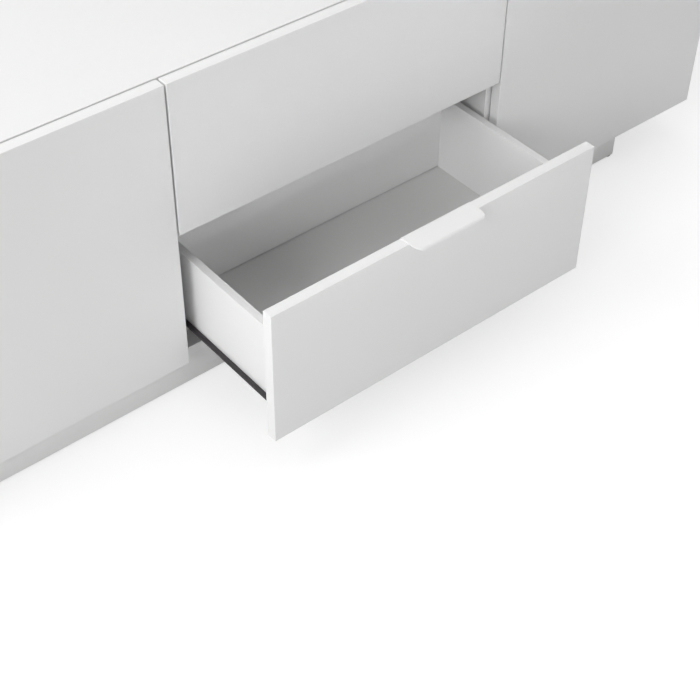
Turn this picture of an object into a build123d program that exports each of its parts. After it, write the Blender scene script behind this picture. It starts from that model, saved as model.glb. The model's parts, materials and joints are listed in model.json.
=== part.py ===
"""TV stand: a white low cabinet with a hinged door at each end and two drawers, one above the other,
between them.

Frame: millimetres, +Z up, +X to the right seen from the front, the front faces look towards -Y. The origin
is on the floor, midway along the width and the depth of the cabinet. The lower drawer is modelled pulled out
by drawer_open.
"""

import math
import os

from build123d import *

os.makedirs("parts", exist_ok=True)

# Overall sizes
overall_width = 1600.0
overall_depth = 400.0  # from the front faces to the back panels
overall_height = 545.0
centre_width = 600.0  # width of a drawer front

# Boards
panel_t = 16.0  # carcass boards and plinth
front_t = 18.0  # door panels and drawer fronts
back_t = 4.0  # back panels
edge_r = 1.0  # rounding of the edging on the fronts and on the top
shelf_t = 16.0

# Fronts
front_bottom_z = 62.0
lower_front_h = 235.0
front_gap = 3.0  # between fronts side by side
drawer_gap = 5.0  # between the two drawer fronts, room for the handle's plate
buffer_gap = 3.0  # between the back of a front and the carcass
drawer_open = 205.0

# Plinth
bottom_z = 54.0  # underside of the carcass
plinth_inset = 164.0  # from the end of the cabinet to the end of the plinth
plinth_depth = 340.0
glide_h = 3.0
glide_r = 7.5
bracket_leg = 25.0
bracket_w = 16.0
bracket_t = 2.0
bracket_inset = 136.0  # from the end of the plinth to the outer brackets
bracket_screw_at = 16.0  # from the corner of a bracket to its screws
bracket_screw_l = 11.0

# Drawer boxes
drawer_side_t = 12.0
drawer_side_h = 138.0
drawer_bottom_t = 4.0
drawer_back_gap = 1.2  # between the back board and the bottom it stands above
drawer_box_rise = 36.8  # from the lower edge of the front up to the underside of the box
drawer_inner_l = 280.0
drawer_screw_l = 16.0
floor_screw_ys = (40.0, 150.0, 260.0)  # behind the back of a drawer front

# Roller runners, in the gap between a drawer side and the divider
runner_gap = 12.5
runner_l = 300.0
runner_sheet = 1.2
runner_setback = 2.0  # behind the carcass front
member_h = 16.5  # height of the drawer's member
member_flange = 8.0  # outward reach of its top flange
member_lip = 3.0
front_roller_r = 7.5
rear_roller_r = 5.2
roller_clear = 0.2
roller_setback = 9.0  # from the end of a member to its roller
channel_h = 13.4  # height of the cabinet's channel
channel_w = 9.0
channel_notch = 22.0  # length of the channel's open front end, where the front roller sits
front_roller_w = 4.4
rear_roller_w = 5.6
axle_r = 1.8
axle_clear = 0.05
front_roller_in = 1.8  # from the drawer side to the front roller
rear_roller_in = 3.4
roller_round = 0.6
member_foot_in = 1.0  # the member's foot stops short of the inside of the drawer side
member_end_in = 2.0  # and its end short of the back of the drawer
channel_screw_ys = (60.0, 160.0, 260.0)  # behind the carcass front
channel_screw_l = 13.0

# Hinges
hinge_end = 90.0  # from a door's upper or lower edge to its hinge
cup_r = 17.4
cup_depth = 11.5
cup_wall = 1.2
cup_edge = 5.0  # from the door's edge to the rim of the cup
hinge_in = 7.0  # turning axis, in from the outer edge
hinge_back = 10.0  # turning axis, behind the front face
bore_clear = 0.1
wing_l = 62.0
wing_w = 22.0
peg_r = 4.0
peg_l = 10.0
peg_pitch = 46.0
arm_w = 17.0
arm_h = 11.0
arm_l = 58.0
arm_setback = 3.0  # behind the carcass front
arm_sheet = 1.5
arm_nose_l = 9.0  # solid stretch before the hollow of the arm
arm_round = 1.2
arm_window_ys = (22.0, 45.0)  # behind the carcass front
arm_screw_r = 3.0
window_clear = 0.2
nose_w = 12.0
nose_h = 7.0
nose_past = 1.5  # in front of the turning axis
plate_h = 4.0
plate_l = 44.0
plate_w = 14.0
plate_setback = 9.0
wing_t = 1.5
plate_wing = 48.0
plate_wing_w = 12.0
plate_screw_y = 37.0  # behind the carcass front
plate_screw_in = 8.0  # from the end of the plate's wing
plate_screw_l = 12.0
link_t = 1.6
link_gap = 0.4  # between a link and the nose
link_inner_r = 12.5
link_outer_r = 17.0
link_low = -5.0  # degrees, from the door's side
link_clear = 3.23  # from a link's tip to the face of the side board
link_round = 1.5

# Push latches
latch_w = 18.0
latch_h = 14.0
latch_l = 64.0
latch_setback = 1.0
latch_round = 2.5
latch_inset = 40.0  # from a door's free edge
plunger_r = 4.0
plunger_l = 42.0
plunger_tip_gap = 0.2
plunger_clear = 0.3
plunger_room = 6.0  # behind a plunger, for its travel
plunger_round = 1.2

# Handle: a bent plate hooked over the top edge of the lower drawer's front
handle_w = 128.0
handle_t = 1.5
handle_reach = 21.0
handle_drop = 11.0
handle_bend = 5.0
handle_corner = 20.0
handle_flange = 20.0  # down the back of the front, where two screws hold it
handle_fold = 2.5
handle_screw_l = 12.0

# Shelves and their pins
shelf_z = 296.0  # underside of a shelf
shelf_setback = 30.0
shelf_back_clear = 6.0
shelf_clear = 1.0
pin_r = 2.5
pin_in = 9.0
pin_out = 8.0
pin_pitch = 32.0
pin_rows = 5
pin_inset = 32.0  # from the shelf's front or back edge

# Knock-down fittings
cam_r = 7.4
cam_past = 4.3  # from a bolt's axis to the foot of its cam
cam_reach = 34.0  # from a joint to its cam
cam_inset = 45.0
bolt_r = 3.0
bolt_thread_r = 2.5
bolt_thread_l = 11.0
bolt_channel_r = 4.0
bolt_neck_r = 1.8
bolt_neck_l = 5.0
bolt_head_l = 3.0
bolt_head_front = 1.0  # the head starts this far before the cam's axis
cam_slot_clear = 0.5
dowel_r = 4.0
dowel_l = 30.0
dowel_face_l = 12.0
dowel_inset = 90.0
fit_clear = 0.1
cut_over = 0.01  # how far a hole runs past a face
drawer_dowel_r = 3.0
drawer_dowel_l = 22.0
drawer_dowel_face_l = 10.0
drawer_dowel_in = 25.0  # from the upper and lower edge of a drawer side
drawer_dowel_wall = 3.0  # left outside a dowel that is set in a drawer side

# Screws
screw_r = 1.75
screw_head_r = 3.5
screw_head_h = 1.6
back_screw_l = 14.0
back_screw_end = 55.0  # from the top and bottom of the carcass
back_screw_off = 4.0  # from the middle of a divider
back_screw_spread = 110.0  # from the middle of a door bay
centre_screw_x = 150.0
back_edge = 2.0  # from the carcass outline to a back panel's edge
back_joint = 1.0  # half of the gap between two back panels

# Cable outlets
outlet_r = 30.0
outlet_z = 130.0

# Derived planes of the cabinet
half_width = overall_width / 2
front_y = -overall_depth / 2
back_y = overall_depth / 2
front_back_y = front_y + front_t
carcass_front = front_back_y + buffer_gap
carcass_back = back_y - back_t
top_under_z = overall_height - panel_t
floor_top_z = bottom_z + panel_t
side_inner_x = half_width - panel_t
divider_x = centre_width / 2 + front_gap / 2  # middle of a divider
divider_bay_x = divider_x + panel_t / 2  # its face in the door bay
divider_drawer_x = divider_x - panel_t / 2  # its face beside the drawers
door_width = half_width - centre_width / 2 - front_gap
upper_front_z = front_bottom_z + lower_front_h + drawer_gap
drawer_outer_x = divider_drawer_x - runner_gap
drawer_inner_x = drawer_outer_x - drawer_side_t

SIDES = {"left": -1, "right": 1}
LOW = Align.MIN
MID = Align.CENTER


def finish(piece, name):
    """Labels a finished piece and writes it."""
    piece.part.label = name
    export_step(piece.part, f"parts/{name}.step")


def block(x_span, y_span, z_span, mode=Mode.ADD):
    """A board or cut between two values on each axis, given in any order."""
    lows = [min(s) for s in (x_span, y_span, z_span)]
    sizes = [max(s) - min(s) for s in (x_span, y_span, z_span)]
    with Locations(tuple(lows)):
        Box(*sizes, align=(LOW, LOW, LOW), mode=mode)


def rod(plane, radius, start, end, mode=Mode.ADD):
    """A round pin or hole along the plane's normal, from one distance to another."""
    with Locations(plane.offset(start)):
        Cylinder(radius, end - start, align=(MID, MID, LOW), mode=mode)


def screw(plane, length):
    """A pan-head screw whose head sits on the plane; its shank goes down into it."""
    rod(plane, screw_head_r, 0, screw_head_h)
    rod(plane, screw_r, -length, 0)


def screw_holes(planes, length):
    for plane in planes:
        rod(plane, screw_r + fit_clear / 2, -length, cut_over, mode=Mode.SUBTRACT)


# ---------------------------------------------------------------- knock-down joints of the carcass
# A joint plane lies where two boards meet. Its normal points into the board that holds the cam, and its
# X axis points out of the cam's bore.
cam_depth = panel_t / 2 + cam_past
cam_ys = (carcass_front + cam_inset, carcass_back - cam_inset)
dowel_ys = (carcass_front + dowel_inset, carcass_back - dowel_inset)


def joint_planes(x, z, into, mouth, ys):
    return [Plane(origin=(x, y, z), x_dir=mouth, z_dir=into) for y in ys]


def upright_planes(x, mouth, z, into):
    return {
        "cams": joint_planes(x, z, (0, 0, into), (mouth, 0, 0), cam_ys),
        "dowels": joint_planes(x, z, (0, 0, into), (mouth, 0, 0), dowel_ys),
    }


side_mid_x = half_width - panel_t / 2
side_tops = {s: upright_planes(s * side_mid_x, -s, top_under_z, -1) for s in (-1, 1)}
divider_tops = {s: upright_planes(s * divider_x, s, top_under_z, -1) for s in (-1, 1)}
divider_feet = {s: upright_planes(s * divider_x, s, floor_top_z, 1) for s in (-1, 1)}
bottom_mid_z = bottom_z + panel_t / 2
side_feet = {
    s: {
        "cams": joint_planes(s * side_inner_x, bottom_mid_z, (-s, 0, 0), (0, 0, -1), cam_ys),
        "dowels": joint_planes(s * side_inner_x, bottom_mid_z, (-s, 0, 0), (0, 0, -1), dowel_ys),
    }
    for s in (-1, 1)
}
all_joints = [group[s] for group in (side_tops, divider_tops, divider_feet, side_feet) for s in (-1, 1)]


def cam_plane(plane):
    """Plane at the foot of a cam's bore, its normal out of the mouth of the bore."""
    origin = plane.origin - plane.x_dir * (cam_past + fit_clear) + plane.z_dir * cam_reach
    return Plane(origin=origin, x_dir=plane.z_dir, z_dir=plane.x_dir)


def drill_face(joint):
    """Holes in the board that the bolts are screwed into."""
    for plane in joint["cams"]:
        rod(plane, bolt_thread_r + fit_clear / 2, -bolt_thread_l - fit_clear, cut_over, mode=Mode.SUBTRACT)
    for plane in joint["dowels"]:
        rod(plane, dowel_r + fit_clear / 2, -dowel_face_l - fit_clear, cut_over, mode=Mode.SUBTRACT)


def drill_end(joint):
    """Channels, cam bores and dowel holes in the board that is pulled up by the cams."""
    for plane in joint["cams"]:
        rod(plane, bolt_channel_r, -cut_over, cam_reach, mode=Mode.SUBTRACT)
        rod(cam_plane(plane), cam_r + fit_clear, 0, cam_depth + 2 * fit_clear, mode=Mode.SUBTRACT)
    for plane in joint["dowels"]:
        end = dowel_l - dowel_face_l + fit_clear
        rod(plane, dowel_r + fit_clear / 2, -cut_over, end, mode=Mode.SUBTRACT)


# ---------------------------------------------------------------- hinges: where each one sits
hinge_zs = (front_bottom_z + hinge_end, overall_height - hinge_end)
hinge_y = front_y + hinge_back
cup_x = half_width - cup_edge - cup_r  # middle of a cup
cup_mouth = {
    s: [Plane(origin=(s * cup_x, front_back_y, z), x_dir=(0, 0, 1), z_dir=(0, 1, 0)) for z in hinge_zs]
    for s in (-1, 1)
}
plate_screw_planes = {
    s: [
        Plane(origin=(s * (side_inner_x - wing_t), carcass_front + plate_screw_y, z + dz), z_dir=(-s, 0, 0))
        for z in hinge_zs
        for dz in (plate_screw_in - plate_wing / 2, plate_wing / 2 - plate_screw_in)
    ]
    for s in (-1, 1)
}
link_high = math.degrees(math.acos((panel_t - hinge_in + link_clear) / link_outer_r))

# ---------------------------------------------------------------- runners: heights and screws
lower_box_z = front_bottom_z + drawer_box_rise
upper_box_z = upper_front_z + drawer_box_rise


def channel_z(box_z):
    """Underside of the cabinet's channel beside a drawer box."""
    return box_z - runner_sheet


def rear_axle_z(box_z):
    return channel_z(box_z) + runner_sheet + rear_roller_r + roller_clear


def member_top_z(box_z):
    return box_z - runner_sheet + member_h


def front_axle_z(box_z):
    return member_top_z(box_z) - runner_sheet - roller_clear - front_roller_r


def channel_screw_planes(s, box_z):
    x = s * (divider_drawer_x - runner_sheet)
    z = channel_z(box_z) + channel_h / 2
    return [Plane(origin=(x, carcass_front + y, z), z_dir=(-s, 0, 0)) for y in channel_screw_ys]


# ---------------------------------------------------------------- shelves: pins
shelf_front_y = carcass_front + shelf_setback
shelf_back_y = carcass_back - shelf_back_clear
pin_ys = (shelf_front_y + pin_inset, shelf_back_y - pin_inset)
pin_z = shelf_z - pin_r


def pin_planes(x, direction, rows):
    """Planes on a board's bay face, their normals pointing into the bay."""
    heights = [pin_z + pin_pitch * (r - rows // 2) for r in range(rows)]
    return [
        Plane(origin=(x, y, z), x_dir=(0, 1, 0), z_dir=(direction, 0, 0)) for y in pin_ys for z in heights
    ]


def drill_pins(x, direction):
    for plane in pin_planes(x, direction, pin_rows):
        rod(plane, pin_r + fit_clear / 2, -pin_in - fit_clear, cut_over, mode=Mode.SUBTRACT)


# ---------------------------------------------------------------- plinth brackets and back-panel screws
plinth_end_x = half_width - plinth_inset
plinth_back_y = carcass_front + plinth_depth
bracket_x = plinth_end_x - bracket_inset
bracket_xs = (-bracket_x, -bracket_x / 2, bracket_x / 2, bracket_x)
# By the direction into the plinth: the inner face of the rail there
bracket_rails = {1: carcass_front + panel_t, -1: plinth_back_y - panel_t}
up_screw_planes = [
    Plane(
        origin=(x, face + d * bracket_screw_at, bottom_z - bracket_t),
        x_dir=(1, 0, 0),
        z_dir=(0, 0, -1),
    )
    for d, face in bracket_rails.items()
    for x in bracket_xs
]
rail_screw_planes = {
    d: [
        Plane(
            origin=(x, face + d * bracket_t, bottom_z - bracket_screw_at),
            x_dir=(1, 0, 0),
            z_dir=(0, d, 0),
        )
        for x in bracket_xs
    ]
    for d, face in bracket_rails.items()
}

bay_mid_x = (divider_bay_x + side_inner_x) / 2
divider_screw_xs = {s: [s * (divider_x + d) for d in (-back_screw_off, back_screw_off)] for s in (-1, 1)}
back_screw_xs = (-side_mid_x, *divider_screw_xs[-1], *divider_screw_xs[1], side_mid_x)
back_screw_zs = (
    bottom_z + back_screw_end,
    (bottom_z + overall_height) / 2,
    overall_height - back_screw_end,
)


def back_plane(x, z):
    """Plane just under a back panel's face, where a countersunk head ends flush."""
    return Plane(origin=(x, back_y, z), x_dir=(1, 0, 0), z_dir=(0, 1, 0))


upright_back_screws = {x: [back_plane(x, z) for z in back_screw_zs] for x in back_screw_xs}
bay_screw_xs = [s * (bay_mid_x + d) for s in (-1, 1) for d in (-back_screw_spread, back_screw_spread)]
long_back_xs = (*bay_screw_xs, -centre_screw_x, centre_screw_x)
top_back_screws = [back_plane(x, overall_height - panel_t / 2) for x in long_back_xs]
bottom_back_screws = [back_plane(x, bottom_mid_z) for x in long_back_xs]
all_back_screws = sum(upright_back_screws.values(), []) + top_back_screws + bottom_back_screws


def sunk_hole(plane, through):
    """A hole with a countersink for a flush screw, from the plane down to a depth."""
    with Locations(plane.offset(-screw_head_h / 2)):
        Cone(
            screw_r + fit_clear / 2,
            screw_head_r,
            screw_head_h,
            align=(MID, MID, MID),
            mode=Mode.SUBTRACT,
        )
    rod(plane, screw_r + fit_clear / 2, -through, 0, mode=Mode.SUBTRACT)


def pilot_hole(plane):
    rod(plane, screw_r + fit_clear / 2, -back_screw_l - fit_clear, 0, mode=Mode.SUBTRACT)


# ================================================================ carcass boards
with BuildPart() as top_panel:
    block((-half_width, half_width), (carcass_front, carcass_back), (top_under_z, overall_height))
    fillet(top_panel.edges().group_by(Axis.Z)[-1], edge_r)
    for s in (-1, 1):
        drill_face(side_tops[s])
        drill_face(divider_tops[s])
    for plane in top_back_screws:
        pilot_hole(plane)
finish(top_panel, "top_panel")

with BuildPart() as bottom_panel:
    block((-side_inner_x, side_inner_x), (carcass_front, carcass_back), (bottom_z, floor_top_z))
    for s in (-1, 1):
        drill_face(divider_feet[s])
        drill_end(side_feet[s])
    screw_holes(up_screw_planes, bracket_screw_l)
    for plane in bottom_back_screws:
        pilot_hole(plane)
finish(bottom_panel, "bottom_panel")

for name, s in SIDES.items():
    with BuildPart() as side_panel:
        block((s * side_inner_x, s * half_width), (carcass_front, carcass_back), (bottom_z, top_under_z))
        drill_end(side_tops[s])
        drill_face(side_feet[s])
        drill_pins(s * side_inner_x, -s)
        screw_holes(plate_screw_planes[s], plate_screw_l)
        for plane in upright_back_screws[s * side_mid_x]:
            pilot_hole(plane)
    finish(side_panel, f"{name}_side_panel")

for name, s in SIDES.items():
    with BuildPart() as divider:
        thickness = (s * divider_drawer_x, s * divider_bay_x)
        block(thickness, (carcass_front, carcass_back), (floor_top_z, top_under_z))
        drill_end(divider_tops[s])
        drill_end(divider_feet[s])
        drill_pins(s * divider_bay_x, s)
        for box_z in (lower_box_z, upper_box_z):
            screw_holes(channel_screw_planes(s, box_z), channel_screw_l)
        for x in divider_screw_xs[s]:
            for plane in upright_back_screws[x]:
                pilot_hole(plane)
    finish(divider, f"{name}_divider")

back_spans = {
    "left": (-half_width + back_edge, -divider_x - back_joint),
    "centre": (-divider_x + back_joint, divider_x - back_joint),
    "right": (divider_x + back_joint, half_width - back_edge),
}
for name, (x0, x1) in back_spans.items():
    with BuildPart() as back_panel:
        block((x0, x1), (carcass_back, back_y), (bottom_z + back_edge, overall_height - back_edge))
        if name in SIDES:
            outlet = back_plane(SIDES[name] * bay_mid_x, outlet_z)
            rod(outlet, outlet_r, -back_t, 0, mode=Mode.SUBTRACT)
        for plane in all_back_screws:
            if x0 < plane.origin.X < x1:
                sunk_hole(plane, back_t)
    finish(back_panel, f"{name}_back_panel")

for name, s in SIDES.items():
    shelf_span = (s * (divider_bay_x + shelf_clear), s * (side_inner_x - shelf_clear))
    with BuildPart() as shelf:
        block(shelf_span, (shelf_front_y, shelf_back_y), (shelf_z, shelf_z + shelf_t))
        fillet(shelf.edges().filter_by(Axis.X).group_by(Axis.Y)[0], edge_r)
    finish(shelf, f"{name}_shelf")

with BuildPart() as shelf_pins:
    for s in (-1, 1):
        for plane in pin_planes(s * side_inner_x, -s, 1) + pin_planes(s * divider_bay_x, s, 1):
            rod(plane, pin_r, -pin_in, pin_out)
finish(shelf_pins, "shelf_pins")

# ================================================================ plinth
plinth_z = (glide_h, bottom_z)
with BuildPart() as plinth_front_rail:
    block((-plinth_end_x, plinth_end_x), (carcass_front, bracket_rails[1]), plinth_z)
    screw_holes(rail_screw_planes[1], bracket_screw_l)
finish(plinth_front_rail, "plinth_front_rail")

with BuildPart() as plinth_back_rail:
    block((-plinth_end_x, plinth_end_x), (bracket_rails[-1], plinth_back_y), plinth_z)
    screw_holes(rail_screw_planes[-1], bracket_screw_l)
finish(plinth_back_rail, "plinth_back_rail")

for name, s in SIDES.items():
    with BuildPart() as plinth_end:
        thickness = (s * (plinth_end_x - panel_t), s * plinth_end_x)
        block(thickness, (bracket_rails[1], bracket_rails[-1]), plinth_z)
    finish(plinth_end, f"plinth_{name}_end")

with BuildPart() as plinth_centre_rail:
    block((-panel_t / 2, panel_t / 2), (bracket_rails[1], bracket_rails[-1]), plinth_z)
finish(plinth_centre_rail, "plinth_centre_rail")

glide_xs = (-plinth_end_x + panel_t / 2, 0, plinth_end_x - panel_t / 2)
glide_ys = (carcass_front + panel_t / 2, 0, plinth_back_y - panel_t / 2)
with BuildPart() as plinth_glides:
    for x in glide_xs:
        for y in glide_ys:
            rod(Plane.XY.move(Location((x, y, 0))), glide_r, 0, glide_h)
    chamfer(plinth_glides.edges().group_by(Axis.Z)[0], glide_h / 4)
finish(plinth_glides, "plinth_glides")

with BuildPart() as plinth_brackets:
    for d, face in bracket_rails.items():
        for x in bracket_xs:
            span = (x - bracket_w / 2, x + bracket_w / 2)
            block(span, (face, face + d * bracket_leg), (bottom_z - bracket_t, bottom_z))
            block(span, (face, face + d * bracket_t), (bottom_z - bracket_leg, bottom_z))
    for plane in up_screw_planes + rail_screw_planes[1] + rail_screw_planes[-1]:
        rod(plane, screw_r + fit_clear, -bracket_t, 0, mode=Mode.SUBTRACT)
finish(plinth_brackets, "plinth_brackets")

with BuildPart() as plinth_screws:
    for plane in up_screw_planes + rail_screw_planes[1] + rail_screw_planes[-1]:
        screw(plane, bracket_screw_l)
finish(plinth_screws, "plinth_screws")

# ================================================================ fittings that hold the boards together
with BuildPart() as cam_discs:
    for joint in all_joints:
        for plane in joint["cams"]:
            rod(cam_plane(plane), cam_r, fit_clear, cam_depth + fit_clear)
    for joint in all_joints:
        for plane in joint["cams"]:
            slot_end = cam_reach + bolt_head_l - bolt_head_front + fit_clear
            rod(plane, bolt_r + cam_slot_clear, cam_reach - cam_r - fit_clear, slot_end, mode=Mode.SUBTRACT)
finish(cam_discs, "cam_discs")

with BuildPart() as cam_bolts:
    for joint in all_joints:
        for plane in joint["cams"]:
            rod(plane, bolt_thread_r, -bolt_thread_l, 0)
            head = cam_reach - bolt_head_front
            rod(plane, bolt_r, 0, head - bolt_neck_l)
            rod(plane, bolt_neck_r, head - bolt_neck_l, head)
            rod(plane, bolt_r, head, head + bolt_head_l)
finish(cam_bolts, "cam_bolts")

with BuildPart() as carcass_dowels:
    for joint in all_joints:
        for plane in joint["dowels"]:
            rod(plane, dowel_r, -dowel_face_l, dowel_l - dowel_face_l)
finish(carcass_dowels, "carcass_dowels")

with BuildPart() as back_panel_screws:
    for plane in all_back_screws:
        with Locations(plane.offset(-screw_head_h / 2)):
            Cone(screw_r, screw_head_r - fit_clear, screw_head_h, align=(MID, MID, MID))
        rod(plane, screw_r, -back_screw_l, -screw_head_h)
finish(back_panel_screws, "back_panel_screws")

# ================================================================ doors
for name, s in SIDES.items():
    with BuildPart() as door_panel:
        door_span = (s * half_width, s * (half_width - door_width))
        block(door_span, (front_y, front_back_y), (front_bottom_z, overall_height))
        fillet(door_panel.edges(), edge_r)
        for mouth in cup_mouth[s]:
            rod(mouth, cup_r + bore_clear, -cup_depth - bore_clear, 0, mode=Mode.SUBTRACT)
            for x in (-peg_pitch / 2, peg_pitch / 2):
                peg = mouth.move(Location((x, 0, 0)))
                rod(peg, peg_r + bore_clear, -peg_l - bore_clear, 0, mode=Mode.SUBTRACT)
    finish(door_panel, f"{name}_door_panel")

    with BuildPart() as hinge_cups:
        for mouth in cup_mouth[s]:
            rod(mouth, cup_r, -cup_depth, 0)
            with BuildSketch(mouth):
                SlotOverall(wing_l, wing_w)
            extrude(amount=cup_wall)
            rod(mouth, cup_r, 0, cup_wall)
            for x in (-peg_pitch / 2, peg_pitch / 2):
                rod(mouth.move(Location((x, 0, 0))), peg_r, -peg_l, 0)
        for mouth in cup_mouth[s]:
            rod(mouth, cup_r - cup_wall, cup_wall - cup_depth, cup_wall, mode=Mode.SUBTRACT)
    finish(hinge_cups, f"{name}_hinge_cups")

    # Each link is a pair of flat curved plates beside the arm's nose, turning about the hinge's axis.
    with BuildPart() as hinge_links:
        start = 180 - link_high if s > 0 else link_low
        for z in hinge_zs:
            for low in (nose_w / 2 + link_gap, -nose_w / 2 - link_gap - link_t):
                level = Plane(origin=(s * (half_width - hinge_in), hinge_y, z + low))
                with BuildSketch(level):
                    with BuildLine():
                        outer = CenterArc((0, 0), link_outer_r, start, link_high - link_low)
                        inner = CenterArc((0, 0), link_inner_r, start, link_high - link_low)
                        Line(outer @ 0, inner @ 0)
                        Line(outer @ 1, inner @ 1)
                    make_face()
                extrude(amount=link_t)
        fillet(hinge_links.edges().filter_by(Axis.Z), link_round)
    finish(hinge_links, f"{name}_hinge_links")

with BuildPart() as hinge_plates:
    for s in (-1, 1):
        for z in hinge_zs:
            plate_y = carcass_front + plate_setback
            plate_z = (z - plate_w / 2, z + plate_w / 2)
            block((s * side_inner_x, s * (side_inner_x - plate_h)), (plate_y, plate_y + plate_l), plate_z)
            wing_y = carcass_front + plate_screw_y
            wing_ys = (wing_y - plate_wing_w / 2, wing_y + plate_wing_w / 2)
            wing_z = (z - plate_wing / 2, z + plate_wing / 2)
            block((s * side_inner_x, s * (side_inner_x - wing_t)), wing_ys, wing_z)
        for plane in plate_screw_planes[s]:
            rod(plane, screw_r + fit_clear, -wing_t, 0, mode=Mode.SUBTRACT)
finish(hinge_plates, "hinge_plates")

arm_base_x = side_inner_x - plate_h
arm_front = carcass_front + arm_setback
arm_back = arm_front + arm_l
with BuildPart() as hinge_arms:
    for s in (-1, 1):
        for z in hinge_zs:
            arm_x = (s * arm_base_x, s * (arm_base_x - arm_h))
            block(arm_x, (arm_front, arm_back), (z - arm_w / 2, z + arm_w / 2))
            nose_x = (s * arm_base_x, s * (arm_base_x - nose_h))
            block(nose_x, (hinge_y - nose_past, arm_front), (z - nose_w / 2, z + nose_w / 2))
    fillet(hinge_arms.edges().filter_by(Axis.Z), arm_round)
    hollow_half = arm_w / 2 - arm_sheet
    for s in (-1, 1):
        for z in hinge_zs:
            hollow_x = (s * arm_base_x, s * (arm_base_x - arm_h + arm_sheet))
            hollow_z = (z - hollow_half, z + hollow_half)
            block(hollow_x, (arm_front + arm_nose_l, arm_back), hollow_z, mode=Mode.SUBTRACT)
            for y in arm_window_ys:
                window = Plane(origin=(s * (arm_base_x - arm_h), carcass_front + y, z), z_dir=(s, 0, 0))
                rod(window, arm_screw_r + window_clear, -cut_over, 2 * arm_sheet, mode=Mode.SUBTRACT)
finish(hinge_arms, "hinge_arms")

# Wood screws hold the plates; a fixing and an adjusting screw stand under the two round windows of each
# arm.
with BuildPart() as hinge_screws:
    for s in (-1, 1):
        for plane in plate_screw_planes[s]:
            screw(plane, plate_screw_l)
        for z in hinge_zs:
            for y in arm_window_ys:
                seat = Plane(origin=(s * arm_base_x, carcass_front + y, z), z_dir=(-s, 0, 0))
                rod(seat, arm_screw_r, 0, arm_h - arm_sheet / 2)
finish(hinge_screws, "hinge_screws")

# ================================================================ push latches
latch_xs = {
    "left": -centre_width / 2 - front_gap - latch_inset,
    "upper_drawer": 0.0,
    "right": centre_width / 2 + front_gap + latch_inset,
}
latch_front = carcass_front + latch_setback
latch_axis_z = top_under_z - latch_h / 2


def latch_plane(x):
    return Plane(origin=(x, latch_front, latch_axis_z), x_dir=(1, 0, 0), z_dir=(0, 1, 0))


with BuildPart() as latch_housings:
    for x in latch_xs.values():
        span = (x - latch_w / 2, x + latch_w / 2)
        block(span, (latch_front, latch_front + latch_l), (top_under_z - latch_h, top_under_z))
    fillet(latch_housings.edges().filter_by(Axis.Y).group_by(Axis.Z)[0], latch_round)
    for x in latch_xs.values():
        rod(latch_plane(x), plunger_r + plunger_clear, 0, plunger_l + plunger_room, mode=Mode.SUBTRACT)
finish(latch_housings, "latch_housings")

for name, x in latch_xs.items():
    with BuildPart() as plunger:
        tip = front_back_y + plunger_tip_gap - latch_front
        rod(latch_plane(x), plunger_r, tip, tip + plunger_l)
        fillet(plunger.edges().group_by(Axis.Y)[0], plunger_round)
    finish(plunger, f"{name}_latch_plunger")

# ================================================================ cabinet halves of the runners
channel_y0 = carcass_front + runner_setback
channel_y1 = channel_y0 + runner_l
front_axle_y = channel_y0 + roller_setback
with BuildPart() as runner_channels:
    for s in (-1, 1):
        for box_z in (lower_box_z, upper_box_z):
            z0 = channel_z(box_z)
            outer = s * divider_drawer_x
            web = s * (divider_drawer_x - runner_sheet)
            tip = s * (divider_drawer_x - channel_w)
            block((outer, web), (channel_y0, channel_y1), (z0, z0 + channel_h))
            for z in (z0, z0 + channel_h - runner_sheet):
                block((outer, tip), (channel_y0 + channel_notch, channel_y1), (z, z + runner_sheet))
    for s in (-1, 1):
        for box_z in (lower_box_z, upper_box_z):
            for plane in channel_screw_planes(s, box_z):
                rod(plane, screw_r + fit_clear, -runner_sheet, 0, mode=Mode.SUBTRACT)
            end_x = s * (divider_drawer_x - runner_sheet)
            end = Plane(origin=(end_x, front_axle_y, front_axle_z(box_z)), z_dir=(-s, 0, 0))
            rod(end, axle_r, 0, runner_gap - runner_sheet - front_roller_in)
finish(runner_channels, "runner_channels")

with BuildPart() as channel_screws:
    for s in (-1, 1):
        for box_z in (lower_box_z, upper_box_z):
            for plane in channel_screw_planes(s, box_z):
                screw(plane, channel_screw_l)
finish(channel_screws, "channel_screws")


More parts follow.
